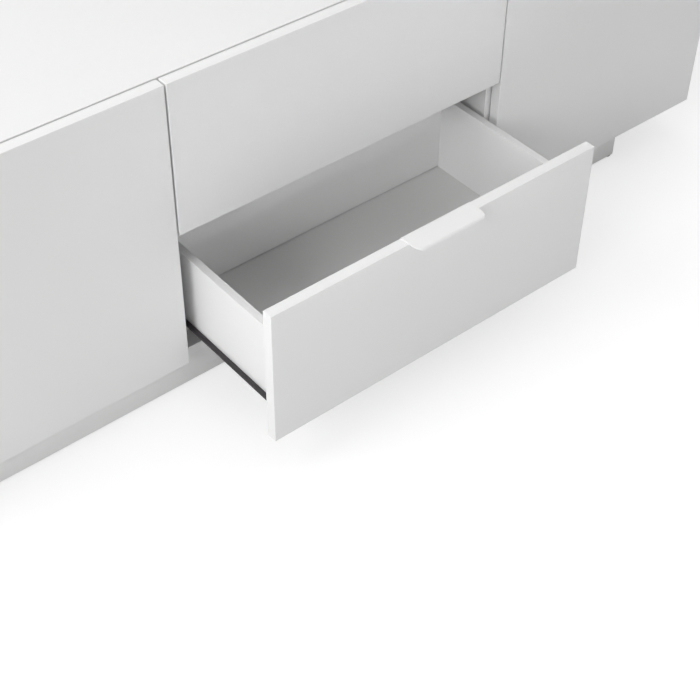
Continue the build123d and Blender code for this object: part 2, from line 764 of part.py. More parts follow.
# ================================================================ drawers
def build_drawer(name, front_z, front_h, box_z, pulled, handled):
    """Front, box, runner members and rollers of one drawer, pulled out by a distance."""
    face_y = front_y - pulled
    box_front = front_back_y - pulled
    box_back = box_front + drawer_inner_l + drawer_side_t
    side_z0 = box_z + drawer_bottom_t
    side_z1 = side_z0 + drawer_side_h
    dowel_zs = (side_z0 + drawer_dowel_in, side_z1 - drawer_dowel_in)
    side_mid = drawer_outer_x - drawer_side_t / 2
    handle_screw_planes = [
        Plane(origin=(x, box_front + handle_t, front_z + front_h - handle_flange / 2), z_dir=(0, 1, 0))
        for x in (-handle_w / 3, handle_w / 3)
    ]
    front_joints = {
        s: [Plane(origin=(s * side_mid, box_front, z), x_dir=(1, 0, 0), z_dir=(0, 1, 0)) for z in dowel_zs]
        for s in (-1, 1)
    }
    back_joints = {
        s: [
            Plane(origin=(s * drawer_inner_x, box_back - drawer_side_t / 2, z), z_dir=(-s, 0, 0))
            for z in dowel_zs
        ]
        for s in (-1, 1)
    }
    floor_screws = [
        Plane(origin=(s * side_mid, box_front + y, box_z - runner_sheet), x_dir=(1, 0, 0), z_dir=(0, 0, -1))
        for s in (-1, 1)
        for y in floor_screw_ys
    ]
    face_depth = drawer_dowel_face_l + fit_clear
    end_depth = drawer_dowel_l - drawer_dowel_face_l + fit_clear
    side_depth = drawer_side_t - drawer_dowel_wall
    back_end_depth = drawer_dowel_l - side_depth + 2 * fit_clear

    with BuildPart() as front:
        block((-centre_width / 2, centre_width / 2), (face_y, box_front), (front_z, front_z + front_h))
        fillet(front.edges(), edge_r)
        for s in (-1, 1):
            for plane in front_joints[s]:
                rod(plane, drawer_dowel_r + fit_clear / 2, -face_depth, 0, mode=Mode.SUBTRACT)
        if handled:
            screw_holes(handle_screw_planes, handle_screw_l)
    finish(front, f"{name}_front")

    for side, s in SIDES.items():
        with BuildPart() as drawer_side:
            block((s * drawer_inner_x, s * drawer_outer_x), (box_front, box_back), (side_z0, side_z1))
            fillet(drawer_side.edges().filter_by(Axis.Y).group_by(Axis.Z)[-1], edge_r / 2)
            for plane in front_joints[s]:
                rod(plane, drawer_dowel_r + fit_clear / 2, 0, end_depth, mode=Mode.SUBTRACT)
            for plane in back_joints[s]:
                rod(plane, drawer_dowel_r + fit_clear / 2, -side_depth, 0, mode=Mode.SUBTRACT)
            screw_holes([p for p in floor_screws if p.origin.X * s > 0], drawer_screw_l)
        finish(drawer_side, f"{name}_{side}_side")

    with BuildPart() as drawer_back:
        block(
            (-drawer_inner_x, drawer_inner_x),
            (box_back - drawer_side_t, box_back),
            (side_z0 + drawer_back_gap, side_z1),
        )
        for s in (-1, 1):
            for plane in back_joints[s]:
                rod(plane, drawer_dowel_r + fit_clear / 2, 0, back_end_depth, mode=Mode.SUBTRACT)
    finish(drawer_back, f"{name}_back")

    with BuildPart() as drawer_bottom:
        block((-drawer_outer_x, drawer_outer_x), (box_front, box_back), (box_z, side_z0))
        screw_holes(floor_screws, drawer_screw_l)
    finish(drawer_bottom, f"{name}_bottom")

    with BuildPart() as drawer_dowels:
        for s in (-1, 1):
            for plane in front_joints[s]:
                rod(plane, drawer_dowel_r, -drawer_dowel_face_l, drawer_dowel_l - drawer_dowel_face_l)
            for plane in back_joints[s]:
                rod(plane, drawer_dowel_r, -side_depth + fit_clear, drawer_dowel_l - side_depth + fit_clear)
    finish(drawer_dowels, f"{name}_dowels")

    member_end = box_back - member_end_in
    rear_axle_y = member_end - roller_setback
    with BuildPart() as members:
        for s in (-1, 1):
            web = (s * drawer_outer_x, s * (drawer_outer_x + runner_sheet))
            tip_x = drawer_outer_x + member_flange
            flange = (s * drawer_outer_x, s * tip_x)
            lip = (s * (tip_x - runner_sheet), s * tip_x)
            foot = (s * (drawer_inner_x + member_foot_in), s * (drawer_outer_x + runner_sheet))
            run = (box_front, member_end)
            bottom = box_z - runner_sheet
            top = member_top_z(box_z)
            block(web, run, (bottom, top))
            block(flange, run, (top - runner_sheet, top))
            block(lip, run, (top - member_lip, top))
            block(foot, run, (bottom, box_z))
        for plane in floor_screws:
            rod(plane, screw_r + fit_clear, -runner_sheet, 0, mode=Mode.SUBTRACT)
        for s in (-1, 1):
            axle_x = s * (drawer_outer_x + runner_sheet)
            axle = Plane(origin=(axle_x, rear_axle_y, rear_axle_z(box_z)), z_dir=(s, 0, 0))
            rod(axle, axle_r, 0, rear_roller_in - runner_sheet + rear_roller_w)
    finish(members, f"{name}_runner_members")

    with BuildPart() as drawer_screws:
        for plane in floor_screws:
            screw(plane, drawer_screw_l)
        if handled:
            for plane in handle_screw_planes:
                screw(plane, handle_screw_l)
    finish(drawer_screws, f"{name}_screws")

    front_axle = (front_axle_y, front_axle_z(box_z))
    rear_axle = (rear_axle_y, rear_axle_z(box_z))
    roller_sets = {
        "cabinet_rollers": (front_roller_in, front_axle, front_roller_r, front_roller_w),
        "drawer_rollers": (rear_roller_in, rear_axle, rear_roller_r, rear_roller_w),
    }
    for set_name, (start_x, axle, radius, width) in roller_sets.items():
        hub_x = drawer_outer_x + start_x
        hubs = [Plane(origin=(s * hub_x, *axle), z_dir=(s, 0, 0)) for s in (-1, 1)]
        with BuildPart() as rollers:
            for hub in hubs:
                rod(hub, radius, 0, width)
            fillet(rollers.edges(), roller_round)
            for hub in hubs:
                rod(hub, axle_r + axle_clear, -cut_over, width + cut_over, mode=Mode.SUBTRACT)
        finish(rollers, f"{name}_{set_name}")

    if handled:
        build_handle(name, box_front, front_z + front_h, handle_screw_planes)


def build_handle(name, box_front, top_z, screw_planes):
    """Bent plate: up the back of the front, over its top edge, out past its face, then down in a lip."""
    face_y = box_front - front_t
    back_face = box_front + handle_t
    top_face = top_z + handle_t
    tip_y = face_y - handle_reach
    with BuildPart() as handle:
        with BuildSketch(Plane.YZ.offset(-handle_w / 2)):
            with BuildLine():
                FilletPolyline(
                    (back_face, top_z - handle_flange),
                    (back_face, top_face),
                    (tip_y, top_face),
                    (tip_y, top_face - handle_drop),
                    radius=[handle_fold, handle_bend],
                )
                offset(amount=handle_t, side=Side.LEFT, closed=True)
            make_face()
        extrude(amount=handle_w)
        # Seen square to the bend the plate's outline is a rectangle with two round corners, at the lip's end.
        slant = Plane(origin=(0, face_y, top_face), x_dir=(1, 0, 0), z_dir=(0, -1, 1))
        lip_end = (handle_reach + handle_drop) / math.sqrt(2)
        with BuildSketch(slant) as outline:
            with Locations((0, lip_end)):
                Rectangle(handle_w, 4 * lip_end)
            fillet(outline.vertices().group_by(Axis.Y)[0], handle_corner)
        extrude(amount=4 * lip_end, both=True, mode=Mode.INTERSECT)
        for plane in screw_planes:
            rod(plane, screw_r + fit_clear, -handle_t, 0, mode=Mode.SUBTRACT)
    finish(handle, f"{name}_handle")


build_drawer("lower_drawer", front_bottom_z, lower_front_h, lower_box_z, drawer_open, handled=True)
build_drawer("upper_drawer", upper_front_z, overall_height - upper_front_z, upper_box_z, 0.0, handled=False)
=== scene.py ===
"""White TV stand: a low cabinet on a set-back plinth, a door at each end and two drawers in the middle."""

import json
import math

import bmesh
import bpy
import numpy as np
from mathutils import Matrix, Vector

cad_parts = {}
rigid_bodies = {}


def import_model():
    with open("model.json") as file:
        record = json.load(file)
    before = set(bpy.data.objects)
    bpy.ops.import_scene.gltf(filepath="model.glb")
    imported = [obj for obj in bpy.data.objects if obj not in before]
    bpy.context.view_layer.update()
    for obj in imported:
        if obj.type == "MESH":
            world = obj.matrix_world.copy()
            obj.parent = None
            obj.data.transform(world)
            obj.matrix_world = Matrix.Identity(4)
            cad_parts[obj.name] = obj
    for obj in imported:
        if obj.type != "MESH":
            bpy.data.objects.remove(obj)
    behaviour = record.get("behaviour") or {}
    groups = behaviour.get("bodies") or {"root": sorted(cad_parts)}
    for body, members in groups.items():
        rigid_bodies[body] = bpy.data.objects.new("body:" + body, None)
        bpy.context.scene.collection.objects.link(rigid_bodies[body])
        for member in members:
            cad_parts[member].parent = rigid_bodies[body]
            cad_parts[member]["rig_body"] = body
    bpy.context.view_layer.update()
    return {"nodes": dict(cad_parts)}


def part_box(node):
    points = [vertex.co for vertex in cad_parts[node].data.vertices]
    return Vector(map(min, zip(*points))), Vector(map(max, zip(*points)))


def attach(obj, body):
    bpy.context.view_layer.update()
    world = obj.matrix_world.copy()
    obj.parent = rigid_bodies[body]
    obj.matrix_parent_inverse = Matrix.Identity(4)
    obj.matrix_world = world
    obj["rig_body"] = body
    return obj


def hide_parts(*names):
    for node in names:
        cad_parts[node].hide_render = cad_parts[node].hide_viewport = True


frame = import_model()
nodes = frame["nodes"]


# Plinth: five boards of particle board faced with white melamine, butted into a low open frame that stands
# well inside the cabinet's outline. Two long rails carry the front and the back, and short boards tie them.
def add_node(tree, kind, values=None, **settings):
    """A shader node with its settings, and with values for its sockets, by name or by number."""
    node = tree.nodes.new(kind)
    for name, value in settings.items():
        setattr(node, name, value)
    for key, value in (values or {}).items():
        node.inputs[key].default_value = value
    return node


def math_node(tree, operation, *inputs):
    """The output of a Math node; each input is a number or another node's output."""
    node = tree.nodes.new("ShaderNodeMath")
    node.operation = operation
    for socket, value in zip(node.inputs, inputs):
        if isinstance(value, (int, float)):
            socket.default_value = value
        else:
            tree.links.new(value, socket)
    return node.outputs[0]


def new_group(name, inputs, outputs):
    """An empty node group with named sockets: {name: default} going in and {name: kind} coming out."""
    tree = bpy.data.node_groups.new(name, "ShaderNodeTree")
    for label, value in inputs.items():
        kind = "NodeSocketColor" if isinstance(value, tuple) else "NodeSocketFloat"
        socket = tree.interface.new_socket(name=label, in_out="INPUT", socket_type=kind)
        socket.default_value = value
    for label, kind in outputs.items():
        tree.interface.new_socket(name=label, in_out="OUTPUT", socket_type="NodeSocket" + kind)
    return tree, tree.nodes.new("NodeGroupInput"), tree.nodes.new("NodeGroupOutput")


def place_group(tree, group, **values):
    """A group placed in a material's tree, with its own values; an underscore stands for a space."""
    node = add_node(tree, "ShaderNodeGroup", node_tree=group)
    for label, value in values.items():
        node.inputs[label.replace("_", " ")].default_value = value
    return node


def build_skin_group():
    """Pressed or sprayed skin: broad faint clouds and fine pearls.

    Colour is the base colour times 1 + clouds (broad noise + fine noise - 1). Roughness is the gloss value
    plus a little of both noises. Height is the fine noise times the pearl depth.
    """
    tree, given, made = new_group(
        "pressed_skin",
        {
            "Colour": (0.8, 0.8, 0.8, 1.0),
            "Clouds": 0.02,
            "Pearl size": 0.0012,
            "Pearl depth": 0.00002,
            "Gloss": 0.4,
        },
        {"Colour": "Color", "Roughness": "Float", "Normal": "Vector"},
    )
    place = add_node(tree, "ShaderNodeTexCoord")
    broad = add_node(tree, "ShaderNodeTexNoise", {"Scale": 7.0, "Detail": 3.0, "Roughness": 0.55})
    pearls = add_node(tree, "ShaderNodeTexNoise", {"Detail": 2.0, "Roughness": 0.5})
    tree.links.new(place.outputs["Object"], broad.inputs["Vector"])
    tree.links.new(place.outputs["Object"], pearls.inputs["Vector"])
    tree.links.new(math_node(tree, "DIVIDE", 1.0, given.outputs["Pearl size"]), pearls.inputs["Scale"])
    both = math_node(tree, "SUBTRACT", math_node(tree, "ADD", broad.outputs[0], pearls.outputs[0]), 1.0)
    gain = math_node(tree, "MULTIPLY_ADD", both, given.outputs["Clouds"], 1.0)
    tint = add_node(tree, "ShaderNodeVectorMath", operation="SCALE")
    tree.links.new(given.outputs["Colour"], tint.inputs[0])
    tree.links.new(gain, tint.inputs["Scale"])
    tree.links.new(tint.outputs[0], made.inputs["Colour"])
    dulled = math_node(tree, "MULTIPLY_ADD", both, 0.08, given.outputs["Gloss"])
    tree.links.new(dulled, made.inputs["Roughness"])
    bump = add_node(tree, "ShaderNodeBump", {"Strength": 1.0})
    tree.links.new(given.outputs["Pearl depth"], bump.inputs["Distance"])
    tree.links.new(pearls.outputs[0], bump.inputs["Height"])
    tree.links.new(bump.outputs[0], made.inputs["Normal"])
    return tree


def plain_material(name, roughness=0.5, metallic=0.0):
    """A new material and its Principled shader, with constants set on the shader's own sockets."""
    material = bpy.data.materials.new(name)
    material.use_nodes = True
    shader = material.node_tree.nodes["Principled BSDF"]
    shader.inputs["Roughness"].default_value = roughness
    shader.inputs["Metallic"].default_value = metallic
    return material, shader


def skin_material(name, colour, gloss, clouds, pearl_size, pearl_depth):
    """A material of one skin, with its own colour, gloss, clouds and pearls."""
    material, shader = plain_material(name, gloss)
    skin = place_group(
        material.node_tree,
        skin_group,
        Colour=(*colour, 1.0),
        Clouds=clouds,
        Pearl_size=pearl_size,
        Pearl_depth=pearl_depth,
        Gloss=gloss,
    )
    links = material.node_tree.links
    links.new(skin.outputs["Colour"], shader.inputs["Base Color"])
    links.new(skin.outputs["Roughness"], shader.inputs["Roughness"])
    links.new(skin.outputs["Normal"], shader.inputs["Normal"])
    return material


def dress(names, material):
    """Gives CAD nodes their material."""
    for name in names:
        mesh = nodes[name].data
        mesh.materials.clear()
        mesh.materials.append(material)


skin_group = build_skin_group()
white = (0.80, 0.80, 0.797)
melamine_skin = {"gloss": 0.42, "clouds": 0.025, "pearl_size": 0.0011, "pearl_depth": 0.00002}
plinth_melamine = skin_material("plinth_melamine", white, **melamine_skin)
plinth_boards = ("front_rail", "back_rail", "left_end", "right_end", "centre_rail")
dress([f"plinth_{board}" for board in plinth_boards], plinth_melamine)

# Glides: nine moulded feet of dark plastic nailed under the plinth, their lower edge bevelled so that they
# slide. They keep the boards' raw lower edges off a damp floor.
glide_black = (0.045, 0.045, 0.045)
glide_plastic = skin_material(
    "dark_glide_plastic", glide_black, gloss=0.5, clouds=0.1, pearl_size=0.0007, pearl_depth=0.00002
)
dress(["plinth_glides"], glide_plastic)


# Brackets: angles stamped from two-millimetre steel, bent square and nickel-plated. Each is screwed to a
# plinth rail and up into the cabinet's bottom board; stamping leaves its edges slightly rolled.
def build_metal_group():
    """Plated or cast metal: fine speckle and cloudy gloss.

    Tone runs from 0.86 of the colour to the colour with a cloudy noise. Roughness is the gloss value plus a
    quarter of that noise, less an eighth. Height is a fine speckle noise times the grain depth.
    """
    tree, given, made = new_group(
        "plated_metal",
        {"Colour": (0.7, 0.7, 0.7, 1.0), "Gloss": 0.3, "Grain size": 0.0004, "Grain depth": 0.000004},
        {"Colour": "Color", "Roughness": "Float", "Normal": "Vector"},
    )
    place = add_node(tree, "ShaderNodeTexCoord")
    speckle = add_node(tree, "ShaderNodeTexNoise", {"Detail": 3.0})
    cloud = add_node(tree, "ShaderNodeTexNoise", {"Scale": 90.0, "Detail": 2.0})
    tree.links.new(place.outputs["Object"], speckle.inputs["Vector"])
    tree.links.new(place.outputs["Object"], cloud.inputs["Vector"])
    tree.links.new(math_node(tree, "DIVIDE", 1.0, given.outputs["Grain size"]), speckle.inputs["Scale"])
    swing = math_node(tree, "MULTIPLY_ADD", cloud.outputs[0], 0.25, -0.125)
    tree.links.new(math_node(tree, "ADD", swing, given.outputs["Gloss"]), made.inputs["Roughness"])
    tint = add_node(tree, "ShaderNodeVectorMath", operation="SCALE")
    tree.links.new(given.outputs["Colour"], tint.inputs[0])
    tree.links.new(math_node(tree, "MULTIPLY_ADD", cloud.outputs[0], 0.14, 0.86), tint.inputs["Scale"])
    tree.links.new(tint.outputs[0], made.inputs["Colour"])
    bump = add_node(tree, "ShaderNodeBump", {"Strength": 1.0})
    tree.links.new(given.outputs["Grain depth"], bump.inputs["Distance"])
    tree.links.new(speckle.outputs[0], bump.inputs["Height"])
    tree.links.new(bump.outputs[0], made.inputs["Normal"])
    return tree


def metal_material(name, colour, gloss, grain_size=0.0004, grain_depth=0.000004):
    """A plated or cast metal with its own colour, gloss and grain."""
    material, shader = plain_material(name, gloss, 1.0)
    metal = place_group(
        material.node_tree,
        metal_group,
        Colour=(*colour, 1.0),
        Gloss=gloss,
        Grain_size=grain_size,
        Grain_depth=grain_depth,
    )
    links = material.node_tree.links
    links.new(metal.outputs["Colour"], shader.inputs["Base Color"])
    links.new(metal.outputs["Roughness"], shader.inputs["Roughness"])
    links.new(metal.outputs["Normal"], shader.inputs["Normal"])
    return material


def add_piece(name, mesh, material, node):
    """Puts a mesh in the scene in a CAD node's stead, riding on its body, with its flatter edges blended."""
    mesh.materials.clear()
    mesh.materials.append(material)
    mesh.shade_smooth()
    mesh.set_sharp_from_angle(angle=blend_angle)
    piece = bpy.data.objects.new(name, mesh)
    bpy.context.scene.collection.objects.link(piece)
    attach(piece, nodes[node]["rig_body"])
    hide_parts(node)
    return piece


def rolled_copy(name, node, material, edge):
    """A merged copy of a CAD node with its sharp edges rolled over by a small width, as stamping does."""
    mesh = nodes[node].data.copy()
    mesh.name = name
    work = bmesh.new()
    work.from_mesh(mesh)
    bmesh.ops.remove_doubles(work, verts=work.verts, dist=1e-6)
    bmesh.ops.dissolve_limit(work, angle_limit=math.radians(1), verts=work.verts, edges=work.edges)
    work.to_mesh(mesh)
    work.free()
    piece = add_piece(name, mesh, material, node)
    roll = piece.modifiers.new("rolled_edges", "BEVEL")
    roll.width = edge
    roll.segments = 2
    roll.limit_method = "ANGLE"
    roll.angle_limit = math.radians(40)
    roll.harden_normals = True
    return piece


blend_angle = math.radians(35)
metal_group = build_metal_group()
nickel = metal_material("nickel_plate", (0.72, 0.71, 0.69), gloss=0.30)
rolled_copy("stamped_brackets", "plinth_brackets", nickel, edge=0.0003)


# Bracket screws: zinc-plated pan-head screws with a crossed recess, turned from wire. One of each pair goes
# up into the bottom board and one into the rail.
def solids_of(node):
    """Corner points of each separate solid in a CAD node, as a list of arrays.

    Corners at one place share a number, and each triangle hands the lowest of its three numbers to all of
    them, until no number changes.
    """
    mesh = nodes[node].data
    mesh.calc_loop_triangles()
    places = np.empty(len(mesh.vertices) * 3)
    mesh.vertices.foreach_get("co", places)
    corners = np.empty(len(mesh.loop_triangles) * 3, dtype=np.int64)
    mesh.loop_triangles.foreach_get("vertices", corners)
    points, number = np.unique(np.round(places.reshape(-1, 3), 6), axis=0, return_inverse=True)
    triangles = number.reshape(-1)[corners].reshape(-1, 3)
    label = np.arange(len(points))
    while True:
        lower = label.copy()
        np.minimum.at(lower, triangles.ravel(), np.repeat(label[triangles].min(axis=1), 3))
        if (lower == label).all():
            return [points[label == value] for value in np.unique(label)]
        label = lower


def ends_of(node):
    """Outer end and outward direction of each round solid in a CAD node, as two arrays of rows.

    A round solid's axis is the one whose two cross sizes agree best. Its outer end is its wider one; where
    both are alike, it is the one nearer the middle of the door bay, or the lower one.
    """
    ends, ways = [], []
    for points in solids_of(node):
        low, high = points.min(axis=0), points.max(axis=0)
        size = high - low
        along = int(np.argmin(np.abs(np.roll(size, -1) - np.roll(size, -2))))
        middle = (low + high) / 2
        reach = np.linalg.norm(np.delete(points - middle, along, axis=1), axis=1)
        upper = points[:, along] > middle[along]
        wider = reach[upper].max() - reach[~upper].max()
        if abs(wider) < alike:
            wider = bay_middle * np.sign(middle[0]) - middle[0] if along == 0 else -1.0
        way = np.zeros(3)
        way[along] = np.sign(wider)
        end = middle.copy()
        end[along] = high[along] if wider > 0 else low[along]
        ends.append(end)
        ways.append(way)
    return np.array(ends), np.array(ways)


def ring_walls(starts, rings, steps):
    """Four-cornered faces between neighbouring rings, for solids whose first corners are numbered by starts.

    Step j of ring i has the number start + i steps + j, and after the last step comes the first one again.
    """
    start, ring, step = np.meshgrid(starts, np.arange(rings - 1), np.arange(steps), indexing="ij")
    base = start + ring * steps
    after = (step + 1) % steps
    walls = [base + step, base + after, base + steps + after, base + steps + step]
    return np.stack(walls, axis=-1).reshape(-1, 4).tolist()


def turned(ends, ways, heights, radii, steps):
    """Closed turned solids, one at each end point, as (points, faces).

    Ring i, step j of a solid is its end point, plus the height there along its outward way, plus the radius
    there at the angle 2 pi j / steps about it. Heights and radii are arrays of rings by steps, or columns
    of one number a ring; the first and last ring are closed by a flat face.
    """
    angle = 2 * np.pi * np.arange(steps) / steps
    side = np.roll(np.abs(ways), 1, axis=1)
    third = np.cross(ways, side)
    out = side[:, None, None] * np.cos(angle)[:, None] + third[:, None, None] * np.sin(angle)[:, None]
    points = ends[:, None, None] + ways[:, None, None] * heights[..., None] + out * radii[..., None]
    rings = len(radii)
    starts = np.arange(len(ends)) * rings * steps
    first = starts[:, None] + np.arange(steps)[::-1]
    last = starts[:, None] + (rings - 1) * steps + np.arange(steps)
    return points.reshape(-1, 3), ring_walls(starts, rings, steps) + first.tolist() + last.tolist()


def new_mesh(name, shells):
    """One mesh from closed shells of (points, faces), with its faces turned outwards."""
    points = np.concatenate([shell[0] for shell in shells])
    starts = np.cumsum([0] + [len(shell[0]) for shell in shells]).tolist()
    faces = []
    for start, shell in zip(starts, shells):
        faces += [[start + corner for corner in face] for face in shell[1]]
    mesh = bpy.data.meshes.new(name)
    mesh.from_pydata(points.tolist(), [], faces)
    work = bmesh.new()
    work.from_mesh(mesh)
    bmesh.ops.recalc_face_normals(work, faces=work.faces)
    work.to_mesh(mesh)
    work.free()
    return mesh


def cross_recess(radii, steps, arm, half_width, depth):
    """Depth of a driver's crossed recess at each ring radius and step.

    It is the depth times two ramps: one falls as the smaller of |r sin a| and |r cos a| passes the half
    width, and one as r passes the arm's length, each over a small share of that size. It tapers to half the
    depth at the arm's end.
    """
    angle = 2 * np.pi * (np.arange(steps) + 0.5) / steps
    x, y = radii * np.cos(angle), radii * np.sin(angle)
    wall_slope, end_slope = 0.35 * half_width, 0.12 * arm
    wall = np.clip((half_width - np.minimum(np.abs(x), np.abs(y))) / wall_slope + 0.5, 0, 1)
    end = np.clip((arm - radii) / end_slope + 0.5, 0, 1)
    return depth * wall * end * (1 - 0.5 * np.clip(radii / arm, 0, 1))


def screw_shell(ends, ways, length, flush=False):
    """Screws, each from the top of its head down to its point.

    A pan head's height at radius r is head_h times the root of 1 - (r / head_r) to the sixth; a flush head
    is flat and tapers straight to the shank. The shank narrows to a point over its last two millimetres.
    """
    rim_r = screw_head_r - screw_rim
    if flush:
        top_h = np.zeros_like(screw_rings)
        below = [(rim_r, -screw_rim), (shank_r, -screw_head_h)]
    else:
        top_h = screw_head_h * np.sqrt(1 - (screw_rings / screw_head_r) ** 6) - screw_head_h
        below = [(screw_head_r, -0.7 * screw_head_h), (rim_r, -screw_head_h), (shank_r, -screw_head_h)]
    below += [(shank_r, screw_point_l - length), (screw_tip_r, -length)]
    radii = np.concatenate([screw_rings, [r for r, _ in below]])[:, None]
    heights = np.concatenate([top_h, [h for _, h in below]])[:, None]
    on_top = (np.arange(len(radii)) < len(screw_rings))[:, None]
    recess = cross_recess(radii, screw_steps, **screw_recess)
    return turned(ends, ways, heights - on_top * recess, radii, screw_steps)


alike = 0.00001
bay_middle = (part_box("right_divider")[1].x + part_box("right_shelf")[1].x) / 2
screw_rings = np.array([0.1, 0.4, 0.7, 1.0, 1.3, 1.6, 1.85, 2.1, 2.5, 2.9, 3.2, 3.38]) / 1000
screw_steps = 40
screw_head_r = 0.0035
screw_head_h = 0.0016
screw_rim = 0.0001
screw_recess = {"arm": 0.0019, "half_width": 0.00042, "depth": 0.0011}
screw_point_l = 0.002
screw_tip_r = 0.0004
shank_r = 0.00175
bracket_screw_l = 0.0126
plated = metal_material("zinc_plate", (0.7, 0.69, 0.66), gloss=0.34)
screws = new_mesh("bracket_screws", [screw_shell(*ends_of("plinth_screws"), bracket_screw_l)])
add_piece("bracket_screws", screws, plated, "plinth_screws")


# Carcass: bottom, two sides, two dividers and the top. The first five are melamine-faced particle board
# whose front edges are hidden by a glued tape, seen as a hairline of glue just behind the edge.
def build_tape_group():
    """Edge tape on a board's front: a mask of the tape, and one of the hairline of glue behind it.

    The tape is where y is less than its thickness behind the front plane; the glue is where y is within the
    line's width of the tape's back.
    """
    tree, given, made = new_group(
        "edge_tape", {"Front": 0.0, "Thickness": 0.001, "Line": 0.00012}, {"Tape": "Float", "Glue": "Float"}
    )
    place = add_node(tree, "ShaderNodeTexCoord")
    parts = add_node(tree, "ShaderNodeSeparateXYZ")
    tree.links.new(place.outputs["Object"], parts.inputs[0])
    behind = math_node(tree, "SUBTRACT", parts.outputs["Y"], given.outputs["Front"])
    tree.links.new(math_node(tree, "LESS_THAN", behind, given.outputs["Thickness"]), made.inputs["Tape"])
    off = math_node(tree, "ABSOLUTE", math_node(tree, "SUBTRACT", behind, given.outputs["Thickness"]))
    tree.links.new(math_node(tree, "LESS_THAN", off, given.outputs["Line"]), made.inputs["Glue"])
    return tree


def taped_material(name, colour, front):
    """Melamine with a tape on its front edge, a touch lighter, and a darker line of glue behind it."""
    material = skin_material(name, colour, **melamine_skin)
    tree = material.node_tree
    shader = tree.nodes["Principled BSDF"]
    skin_colour = shader.inputs["Base Color"].links[0].from_socket
    tape = place_group(tree, tape_group, Front=front)
    lighter = add_node(tree, "ShaderNodeMix", data_type="RGBA")
    lighter.inputs["B"].default_value = (*[tape_tone * c for c in colour], 1.0)
    glued = add_node(tree, "ShaderNodeMix", data_type="RGBA")
    glued.inputs["B"].default_value = (*[glue_tone * c for c in colour], 1.0)
    tree.links.new(tape.outputs["Tape"], lighter.inputs["Factor"])
    tree.links.new(skin_colour, lighter.inputs["A"])
    tree.links.new(tape.outputs["Glue"], glued.inputs["Factor"])
    tree.links.new(lighter.outputs["Result"], glued.inputs["A"])
    tree.links.new(glued.outputs["Result"], shader.inputs["Base Color"])
    return material


tape_tone = 1.02
glue_tone = 0.72
tape_group = build_tape_group()
carcass_melamine = taped_material("carcass_melamine", white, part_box("left_side_panel")[0].y)
carcass_boards = ["bottom_panel", "left_side_panel", "right_side_panel", "left_divider", "right_divider"]
dress(carcass_boards, carcass_melamine)

# Top: the same board core under a smooth matt lacquer, its upper edges eased by a millimetre. It lies on
# the uprights and hides their ends.
lacquer = skin_material(
    "matt_lacquer", (0.80, 0.80, 0.80), gloss=0.48, clouds=0.012, pearl_size=0.0022, pearl_depth=0.00001
)
dress(["top_panel"], lacquer)

# Cams: die-cast zinc discs let into the boards near each joint. Half a turn with a cross-point driver draws
# in the head of a bolt; a thin raised rim and the crossed recess are all that shows.
cam_r = 0.0074
cam_depth = 0.0123
cam_edge = 0.0003
cam_steps = 48
zinc = metal_material("zinc_casting", (0.58, 0.59, 0.61), gloss=0.44, grain_size=0.0003, grain_depth=0.00001)
cam_face = [(r / 1000, -0.0005) for r in (0.2, 0.8, 1.4, 2.0, 2.6, 3.2, 3.7, 4.2, 5.9)]
cam_rim = [(0.0061, -0.0001), (0.0063, 0.0), (cam_r - cam_edge, 0.0), (cam_r, -cam_edge)]
cam_wall = [(cam_r, -0.004), (cam_r, cam_edge - cam_depth), (cam_r - cam_edge, -cam_depth)]
cam_radii, cam_levels = np.array(cam_face + cam_rim + cam_wall).T[..., None]
cam_heights = cam_levels - cross_recess(cam_radii, cam_steps, arm=0.004, half_width=0.00065, depth=0.0024)
cams = new_mesh("cast_cams", [turned(*ends_of("cam_discs"), cam_heights, cam_radii, cam_steps)])
add_piece("cast_cams", cams, zinc, "cam_discs")

# Bolts and dowels: the zinc-plated bolts the cams pull on, and beech dowels beside them that keep the boards
# from turning. Both are shut inside the joints.
dress(["cam_bolts"], plated)
beech = skin_material(
    "beech_wood", (0.6, 0.42, 0.25), gloss=0.6, clouds=0.2, pearl_size=0.0015, pearl_depth=0.00005
)
dress(["carcass_dowels"], beech)

# Backs: three sheets of thin fibreboard, white on both faces, one behind each bay. The outer two have a
# round outlet for cables.
fibreboard_skin = {"gloss": 0.55, "clouds": 0.03, "pearl_size": 0.0016, "pearl_depth": 0.00003}
backing = skin_material("backing_fibreboard", (0.76, 0.76, 0.75), **fibreboard_skin)
dress(["left_back_panel", "centre_back_panel", "right_back_panel"], backing)

# Back screws: countersunk and zinc-plated, driven flush through the sheets into the edges of the boards,
# three down each side of a sheet and two along its top and its bottom.
back_screw_l = 0.014
flush_shell = screw_shell(*ends_of("back_panel_screws"), back_screw_l, flush=True)
flush_screws = new_mesh("flush_screws", [flush_shell])
add_piece("flush_screws", flush_screws, plated, "back_panel_screws")

# Shelves: one loose board in each door bay, faced with white melamine, with tape glued along its front
# edge. It lies on four pins and can be moved up or down.
shelf_melamine = taped_material("shelf_melamine", white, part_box("left_shelf")[0].y)
dress(["left_shelf", "right_shelf"], shelf_melamine)

# Shelf pins: five-millimetre nickel-plated steel, turned with a domed end and a fine groove where the wall
# of the board ends, pushed by hand into the rows of holes.
pin_r = 0.0025
pin_l = 0.017
pin_steps = 24
groove_r = 0.9 * pin_r
groove = [(pin_r, -0.0074), (groove_r, -0.0076), (groove_r, -0.0079), (pin_r, -0.0081)]
pin_foot = [(pin_r, 0.0005 - pin_l), (0.8 * pin_r, -pin_l)]
dome_turn = np.linspace(0.06, 1.0, 8) * np.pi / 2
dome = [(pin_r * math.sin(turn), 0.5 * pin_r * (math.cos(turn) - 1)) for turn in dome_turn]
pin_radii, pin_heights = np.array(dome + groove + pin_foot).T[..., None]
pins = new_mesh("turned_pins", [turned(*ends_of("shelf_pins"), pin_heights, pin_radii, pin_steps)])
add_piece("turned_pins", pins, nickel, "shelf_pins")


